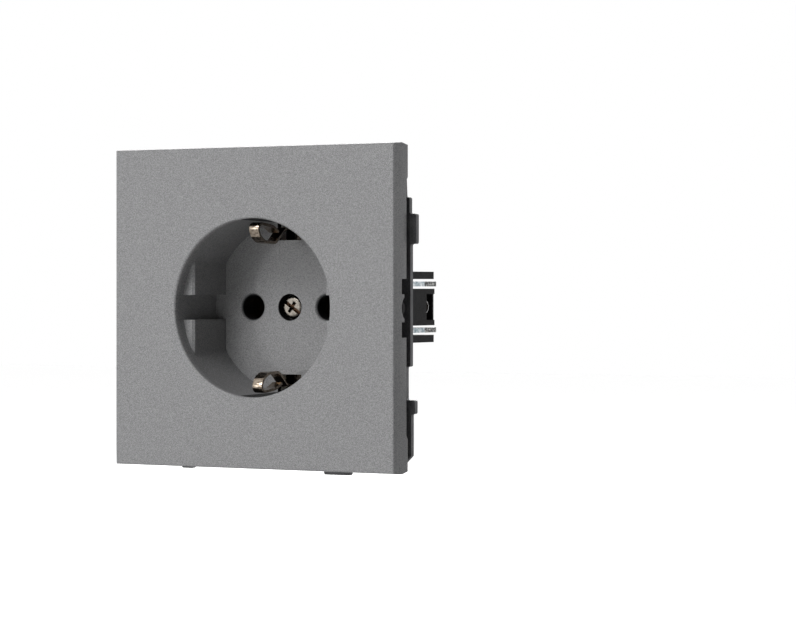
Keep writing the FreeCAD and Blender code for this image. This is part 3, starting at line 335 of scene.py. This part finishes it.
def screw_steel():
    """Plated steel screws: warm grey nickel in the middle, pale brassy passivation at the claws.

    Their recesses and their swaged ends are painted dark brown as shade.
    """
    material, tree, shader, place = start_finish("plated_steel_screw", Metallic=1.0)
    # the real grain of the plating is too fine to show; drawn 0.5 mm wide
    grain_mm = 0.5
    grain = add(tree, "ShaderNodeTexNoise", {"Vector": place, "Scale": 1 / (grain_mm * MM), "Detail": 3.0})
    plated = spread_grain(tree, shader, grain.outputs["Fac"], tones=("#55514c", "#77726b"),
                          gloss=(0.16, 0.32), depth_mm=0.01)
    parts = add(tree, "ShaderNodeSeparateXYZ", {"Vector": place}).outputs
    across = add(tree, "ShaderNodeMath", {0: parts["X"]}, operation="ABSOLUTE").outputs[0]
    at_claw = add(tree, "ShaderNodeMath", {0: across, 1: CLAW_SCREW_X / 2 * MM},
                  operation="GREATER_THAN").outputs[0]
    plated = add(tree, "ShaderNodeMix", {MIX_FACTOR: at_claw, MIX_A: plated, MIX_B: linear("#c6bc9c")},
                 data_type="RGBA").outputs[MIX_OUT]
    # distance from the axis of the nearest screw
    to_claw = add(tree, "ShaderNodeMath", {0: across, 1: CLAW_SCREW_X * MM}, operation="SUBTRACT").outputs[0]
    to_claw = add(tree, "ShaderNodeMath", {0: to_claw}, operation="ABSOLUTE").outputs[0]
    off_axis = add(tree, "ShaderNodeMath", {0: across, 1: to_claw}, operation="MINIMUM").outputs[0]
    off_axis = add(tree, "ShaderNodeCombineXYZ", {"X": off_axis, "Z": parts["Z"]}).outputs[0]
    radius = add(tree, "ShaderNodeVectorMath", {0: off_axis}, operation="LENGTH").outputs["Value"]
    # painted shade in the heads' recesses
    recess_shade = add(tree, "ShaderNodeMapRange", {"Value": parts["Y"], "From Min": RECESS_SHADE_FRONT * MM,
                                            "From Max": (RECESS_SHADE_FRONT + RECESS_SHADE_FADE) * MM}).outputs["Result"]
    for value, limit in ((radius, RECESS_SHADE_REACH), (parts["Y"], RECESS_SHADE_REAR)):
        within = add(tree, "ShaderNodeMath", {0: value, 1: limit * MM}, operation="LESS_THAN").outputs[0]
        recess_shade = add(tree, "ShaderNodeMath", {0: recess_shade, 1: within}, operation="MULTIPLY").outputs[0]
    # painted shade on the swaged ends
    bare_and_shade = add(tree, "ShaderNodeMath", {0: parts["Y"], 1: TIP_SHADE_FRONT * MM},
               operation="GREATER_THAN").outputs[0]
    screw_shade = add(tree, "ShaderNodeMath", {0: recess_shade, 1: bare_and_shade}, operation="MAXIMUM").outputs[0]
    mixed = add(tree, "ShaderNodeMix", {MIX_FACTOR: screw_shade, MIX_A: plated, MIX_B: linear("#37291f")},
                data_type="RGBA")
    tree.links.new(mixed.outputs[MIX_OUT], shader.inputs["Base Color"])
    return material


def nickel_strip():
    """Nickel-plated bronze strip: polished on the sprung clips, painted dark as shade on the run behind the
    well.
    """
    material, tree, shader, place = start_finish("polished_nickel_on_bronze", Metallic=1.0)
    # the real grain of the plating is too fine to show; drawn 0.6 mm wide
    grain_mm = 0.6
    grain = add(tree, "ShaderNodeTexNoise", {"Vector": place, "Scale": 1 / (grain_mm * MM), "Detail": 3.0})
    polished = spread_grain(tree, shader, grain.outputs["Fac"], tones=("#6f6358", "#b9ac9c"),
                            gloss=(0.08, 0.2), depth_mm=0.008)
    along = add(tree, "ShaderNodeSeparateXYZ", {"Vector": place}).outputs["Y"]
    floor = FACE_Y + WELL_DEPTH
    # painted shade on the run behind the well's floor
    behind_floor_shade = add(tree, "ShaderNodeMapRange", {"Value": along, "From Min": (floor + STRIP_SHADE_FADE[0]) * MM,
                                            "From Max": (floor + STRIP_SHADE_FADE[1]) * MM}).outputs["Result"]
    mixed = add(tree, "ShaderNodeMix", {MIX_FACTOR: behind_floor_shade, MIX_A: polished, MIX_B: linear("#2a2622")},
                data_type="RGBA")
    tree.links.new(mixed.outputs[MIX_OUT], shader.inputs["Base Color"])
    return material


def plain_metal(name, tones, gloss, grain_mm, depth_mm):
    """Plated or bare metal whose tone and gloss wander a little, over a grain drawn wide enough to show."""
    material, tree, shader, place = start_finish(name, Metallic=1.0)
    grain = add(tree, "ShaderNodeTexNoise", {"Vector": place, "Scale": 1 / (grain_mm * MM), "Detail": 3.0})
    spread_grain(tree, shader, grain.outputs["Fac"], tones, gloss, depth_mm)
    return material


def moulded_key(name, tones):
    """Moulded polyamide key, satin, with a faint grain."""
    material, tree, shader, place = start_finish(name, IOR=1.53)
    # the real mould grain is too fine to show; drawn 0.3 mm wide
    grain_mm = 0.3
    grain = add(tree, "ShaderNodeTexNoise", {"Vector": place, "Scale": 1 / (grain_mm * MM), "Detail": 2.0})
    spread_grain(tree, shader, grain.outputs["Fac"], tones, gloss=(0.38, 0.5), depth_mm=0.008)
    return material


def make_finishes():
    """One finish for each of the record's material slots."""
    return {
        "cover": metallic_lacquer(),
        "plate_steel": zinc_plated_sheet(),
        "white_plastic": white_polyamide(),
        "black_plastic": black_polyamide(),
        "claw_steel": galvanised_strip(),
        "screw_steel": screw_steel(),
        "nickel_strip": nickel_strip(),
        # rolled brass: warm yellow with a soft gloss
        "contact_brass": plain_metal("rolled_contact_brass", tones=("#b08d4c", "#cfab66"), gloss=(0.25, 0.38),
                                     grain_mm=0.4, depth_mm=0.008),
        # bare hardened strip: neutral bright grey
        "spring_steel": plain_metal("blank_spring_steel", tones=("#8c8e92", "#b4b6ba"), gloss=(0.22, 0.34),
                                    grain_mm=0.4, depth_mm=0.006),
        # yellow chromate on zinc: straw yellow, a little duller
        "nut_steel": plain_metal("yellow_chromated_nut", tones=("#a38c52", "#c9b37a"), gloss=(0.28, 0.42),
                                 grain_mm=0.5, depth_mm=0.01),
        "grey_key": moulded_key("moulded_grey_key", tones=("#848587", "#9a9b9d")),
        "green_key": moulded_key("moulded_green_key", tones=("#29692f", "#367f3f")),
    }


def work_edges(piece, width_mm):
    """Round a solid's sharp edges and shade its curved faces smooth, leaving its own mesh alone."""
    join = piece.modifiers.new("join", "WELD")
    join.merge_threshold = WELD_MM * MM
    edge = piece.modifiers.new("edge", "BEVEL")
    edge.width = width_mm * MM
    edge.segments = EDGE_STEPS
    edge.limit_method = "ANGLE"
    edge.angle_limit = EDGE_ANGLE
    piece.data.shade_smooth()
    even = piece.modifiers.new("even", "WEIGHTED_NORMAL")
    even.keep_sharp = True


def dress_solids(frame, finishes):
    """Give each CAD node its finish and worked edges."""
    slots = {row["node"]: row["material_slot"] for row in frame["record"]["subparts"]}
    for name, node in frame["nodes"].items():
        node.data.materials.clear()
        node.data.materials.append(finishes[slots[name]])
        work_edges(node, EDGE_MM.get(name, PLAIN_EDGE_MM))


def thread_radius(along, turn, length, thread):
    """Radius of a threaded shank at a distance along it and a share of a turn round it, in millimetres.

    A cone runs in at the tip, or the tip is swaged wide so that nothing winds off it.
    """
    phase = (along / thread["pitch"] - turn) % 1.0
    height = min(1.0, FLANK_STEEP * (1.0 - abs(2.0 * phase - 1.0)))
    run_in = min(1.0, along / thread["pitch"])
    radius = thread["radius"] - thread["depth"] * (1.0 - height) * run_in
    if length - along < thread["swage"]:
        return thread["swage_radius"]
    return min(radius, thread["radius"] - thread["cone"] + (length - along))


def cut_thread(mesh, x, start, end, thread):
    """Add a threaded shank along Y to a mesh, as one closed skin."""
    length = end - start
    count = round(length / thread["pitch"] * THREAD_STEPS)
    rings = []
    for step in range(count + 1):
        along = length * step / count
        ring = []
        for side in range(THREAD_SIDES):
            turn = side / THREAD_SIDES
            radius = thread_radius(along, turn, length, thread)
            angle = 2 * math.pi * turn
            corner = (x + radius * math.cos(angle), start + along, radius * math.sin(angle))
            ring.append(mesh.verts.new(Vector(corner) * MM))
        rings.append(ring)
    for low, high in zip(rings, rings[1:]):
        for side in range(THREAD_SIDES):
            after = (side + 1) % THREAD_SIDES
            mesh.faces.new((low[side], high[side], high[after], low[after]))
    mesh.faces.new(rings[0])
    mesh.faces.new(reversed(rings[-1]))


def make_screw(frame, name, body, head_long, thread, finish):
    """Replace a plain screw by its own head on a shank with a real thread."""
    low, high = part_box(name)
    x = (low[0] + high[0]) / 2 / MM
    head_end = low[1] / MM + head_long - HEAD_CUT
    mesh = bmesh.new()
    mesh.from_mesh(frame["nodes"][name].data)
    bmesh.ops.remove_doubles(mesh, verts=mesh.verts, dist=WELD_MM * MM)
    everything = list(mesh.verts) + list(mesh.edges) + list(mesh.faces)
    bmesh.ops.bisect_plane(mesh, geom=everything, plane_co=(0, head_end * MM, 0), plane_no=(0, 1, 0),
                           clear_outer=True)
    bmesh.ops.holes_fill(mesh, edges=[edge for edge in mesh.edges if edge.is_boundary])
    cut_thread(mesh, x, head_end, high[1] / MM + thread["swage"] / 2, thread)
    bmesh.ops.recalc_face_normals(mesh, faces=mesh.faces)
    data = bpy.data.meshes.new(name + "_threaded")
    mesh.to_mesh(data)
    mesh.free()
    data.materials.append(finish)
    screw = bpy.data.objects.new(name + "_threaded", data)
    bpy.context.scene.collection.objects.link(screw)
    work_edges(screw, PLAIN_EDGE_MM)
    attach(screw, body)
    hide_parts(name)


def place_camera():
    """Stand the camera to the right of the socket, level, with the shift that the framing needs."""
    camera_data = bpy.data.cameras.new("studio_camera")
    camera = bpy.data.objects.new("studio_camera", camera_data)
    bpy.context.scene.collection.objects.link(camera)
    bpy.context.scene.camera = camera
    camera.location = Vector((VIEW_DISTANCE * math.sin(VIEW_TURN),
                              FACE_Y - VIEW_DISTANCE * math.cos(VIEW_TURN), VIEW_HEIGHT)) * MM
    camera.rotation_euler = (math.radians(90), 0, VIEW_TURN)
    camera_data.sensor_width = SENSOR_WIDE
    camera_data.lens = FOCAL_PIXELS / PICTURE_WIDE * SENSOR_WIDE
    camera_data.shift_x = (PICTURE_WIDE / 2 - FACE_CENTRE[0]) / PICTURE_WIDE
    drop = FOCAL_PIXELS * VIEW_HEIGHT / VIEW_DISTANCE
    camera_data.shift_y = (FACE_CENTRE[1] - drop - PICTURE_TALL / 2) / PICTURE_WIDE
    camera_data.clip_start, camera_data.clip_end = VIEW_REACH


def soft_lamp(name, turn, rise, side, watts):
    """Square soft lamp that faces the socket, at an angle right of its axis and an angle above it."""
    lamp = bpy.data.lights.new(name, "AREA")
    lamp.shape = "SQUARE"
    lamp.size = side
    lamp.energy = watts
    stand = bpy.data.objects.new(name, lamp)
    bpy.context.scene.collection.objects.link(stand)
    turn, rise = math.radians(turn), math.radians(rise)
    way = Vector((math.sin(turn) * math.cos(rise), -math.cos(turn) * math.cos(rise), math.sin(rise)))
    stand.location = way * LAMP_AWAY
    stand.rotation_euler = (-way * LAMP_AWAY).to_track_quat("-Z", "Y").to_euler()


def light_studio():
    """White room with a lamp high in front of the socket, a weaker one low at its left, and two behind it."""
    world = bpy.data.worlds.new("white_room")
    bpy.context.scene.world = world
    world.use_nodes = True
    tree = world.node_tree
    rays = add(tree, "ShaderNodeLightPath").outputs
    seen = add(tree, "ShaderNodeMath", {0: rays["Is Camera Ray"], 1: rays["Is Transmission Ray"]},
               operation="MAXIMUM").outputs[0]
    mirrored = add(tree, "ShaderNodeMath", {0: seen, 1: rays["Is Glossy Ray"]},
                   operation="MAXIMUM").outputs[0]
    strength = add(tree, "ShaderNodeMapRange", {"Value": mirrored, "To Min": ROOM_LEVEL, "To Max": 1.0})
    tree.links.new(strength.outputs["Result"], tree.nodes["Background"].inputs["Strength"])
    tree.nodes["Background"].inputs["Color"].default_value = (1, 1, 1, 1)
    for name, turn, rise, side, watts in LAMPS:
        soft_lamp(name, turn, rise, side, watts)


def lay_floor():
    """Pale floor below the socket that looks nearly as white as the room in the picture."""
    mesh = bpy.data.meshes.new("floor")
    corners = [(-FLOOR_HALF, -FLOOR_HALF), (FLOOR_HALF, -FLOOR_HALF), (FLOOR_HALF, FLOOR_HALF),
               (-FLOOR_HALF, FLOOR_HALF)]
    mesh.from_pydata([(x, y, FLOOR_Z * MM) for x, y in corners], [], [(0, 1, 2, 3)])
    floor = bpy.data.objects.new("floor", mesh)
    bpy.context.scene.collection.objects.link(floor)
    material, tree, shader, _ = start_finish("matt_white_floor_paint", Roughness=0.9)
    shader.inputs["Base Color"].default_value = linear("#f2f2f2")
    rays = add(tree, "ShaderNodeLightPath").outputs
    tree.links.new(rays["Is Camera Ray"], shader.inputs["Emission Strength"])
    shader.inputs["Emission Color"].default_value = (FLOOR_GLOW, FLOOR_GLOW, FLOOR_GLOW, 1)
    mesh.materials.append(material)


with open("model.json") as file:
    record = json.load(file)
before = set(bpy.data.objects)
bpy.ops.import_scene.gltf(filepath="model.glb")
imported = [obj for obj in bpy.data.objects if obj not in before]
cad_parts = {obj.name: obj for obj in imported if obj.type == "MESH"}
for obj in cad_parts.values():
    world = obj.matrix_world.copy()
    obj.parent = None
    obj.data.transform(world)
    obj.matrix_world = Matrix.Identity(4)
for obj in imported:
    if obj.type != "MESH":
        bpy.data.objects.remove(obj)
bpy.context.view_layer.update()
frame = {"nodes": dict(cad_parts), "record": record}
# Y of the cover's front face, in millimetres
FACE_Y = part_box("cover_plate")[0][1] / MM
bpy.context.scene.view_settings.view_transform = "Standard"
finishes = make_finishes()
dress_solids(frame, finishes)
for name in ("claw_screw_left", "claw_screw_right"):
    make_screw(frame, name, name, CLAW_HEAD_LONG, CLAW_THREAD, finishes["screw_steel"])
make_screw(frame, "cover_screw", "socket", COVER_HEAD_LONG, COVER_THREAD, finishes["screw_steel"])
place_camera()
light_studio()
lay_floor()
